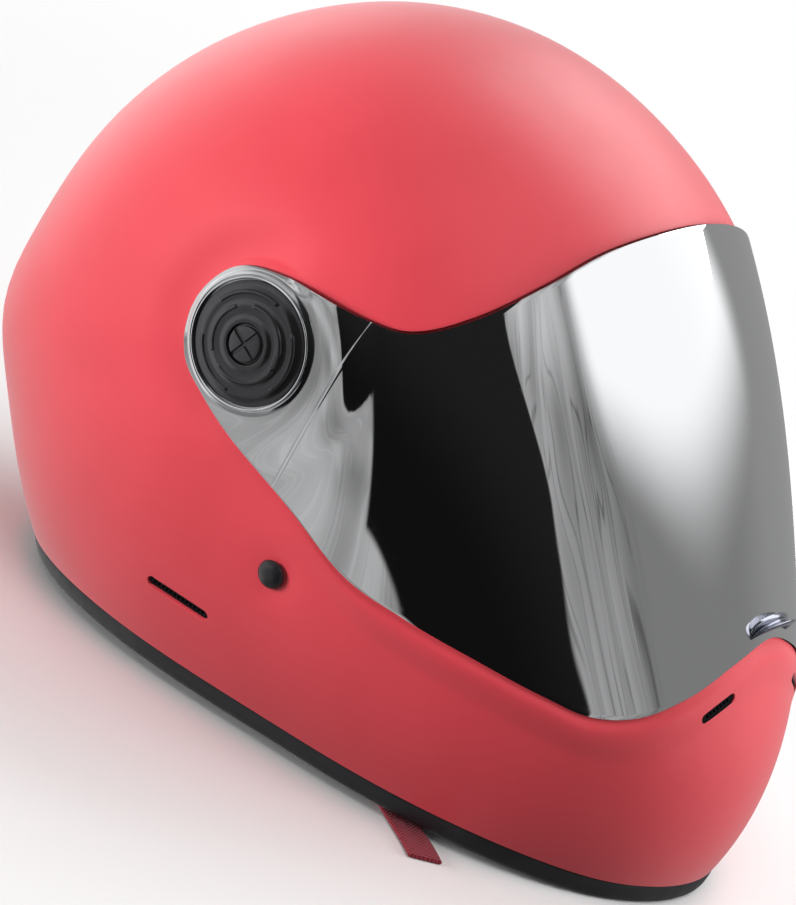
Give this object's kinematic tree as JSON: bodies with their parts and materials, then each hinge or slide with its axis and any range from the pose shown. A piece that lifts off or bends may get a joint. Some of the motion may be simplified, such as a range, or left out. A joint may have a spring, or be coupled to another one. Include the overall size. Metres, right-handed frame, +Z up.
{
  "type": "full face helmet",
  "caption": "Full face helmet with a one-piece red shell, mirrored swing-up visor on round ribbed side pivots, padded lining, chin bar vents and a double ring chin strap.",
  "frame": {"origin": "on the floor under the middle of the helmet, which stands on the flat underside of its rim trim", "axes": "+X to the wearer's left, -Y the way the helmet faces, +Z up; the shell is symmetric about X = 0"},
  "size_m": [0.2498, 0.3325, 0.2447],
  "materials": {
    "red_shell": "satin red lacquer",
    "liner_foam": "black bead foam",
    "pad_cloth": "brushed black cloth",
    "black_rubber": "matte black rubber",
    "vent_mesh": "fine black mesh",
    "black_plastic": "satin black",
    "bright_steel": "bright steel",
    "mirror_visor": "silver mirror coat",
    "chrome_trim": "polished",
    "black_metal": "satin black",
    "webbing": "woven nylon",
    "red_webbing": "woven nylon"
  },
  "bodies": {
    "helmet": {"outer_shell": "red_shell", "impact_liner": "liner_foam", "chin_liner": "liner_foam", "crown_pad": "pad_cloth", "brow_pad": "pad_cloth", "back_pad": "pad_cloth", "cheek_pad_right": "pad_cloth", "cheek_pad_left": "pad_cloth", "neck_roll": "pad_cloth", "port_seal": "black_rubber", "rim_trim": "black_rubber", "chin_vent_mesh_right": "vent_mesh", "chin_vent_mesh_left": "vent_mesh", "side_vent_mesh_right": "vent_mesh", "side_vent_mesh_left": "vent_mesh", "pivot_base_right": "black_plastic", "pivot_base_left": "black_plastic", "base_screws_right": "bright_steel", "base_screws_left": "bright_steel", "detent_spring_right": "bright_steel", "detent_spring_left": "bright_steel", "pivot_cover_right": "black_plastic", "pivot_cover_left": "black_plastic", "strap_rivet_right": "black_metal", "strap_rivet_left": "black_metal", "strap_anchor_right": "bright_steel", "strap_anchor_left": "bright_steel", "chin_strap_right": "webbing", "chin_strap_left": "webbing", "strap_snap": "bright_steel", "pull_tab": "red_webbing", "breath_guard": "black_rubber"},
    "visor": {"visor": "mirror_visor", "lift_tab": "chrome_trim", "pivot_ring_right": "chrome_trim", "pivot_ring_left": "chrome_trim"},
    "lock_right": {"pivot_lock_right": "black_plastic"},
    "lock_left": {"pivot_lock_left": "black_plastic"},
    "ring_lower": {"d_ring_lower": "bright_steel"},
    "ring_upper": {"d_ring_upper": "bright_steel"}
  },
  "joints": [
    {"name": "visor_hinge", "type": "hinge", "parent": "helmet", "child": "visor", "pos_m": [0, 0.01977, 0.135], "axis": [-1, 0, 0], "range_deg": [0, 60]},
    {"name": "lock_turn_right", "type": "hinge", "parent": "helmet", "child": "lock_right", "pos_m": [-0.1209, 0.01977, 0.135], "axis": [-1, 0, 0], "range_deg": [0, 90]},
    {"name": "lock_turn_left", "type": "hinge", "parent": "helmet", "child": "lock_left", "pos_m": [0.1209, 0.01977, 0.135], "axis": [1, 0, 0], "range_deg": [0, 90]},
    {"name": "lower_ring_swing", "type": "hinge", "parent": "helmet", "child": "ring_lower", "pos_m": [-0.06348, -0.063, 0.0062], "axis": [-0.309, -0.9511, 0], "range_deg": [0, 60]},
    {"name": "upper_ring_swing", "type": "hinge", "parent": "ring_lower", "child": "ring_upper", "pos_m": [-0.06348, -0.063, 0.00979], "axis": [-0.309, -0.9511, 0], "range_deg": [0, 60]}
  ]
}
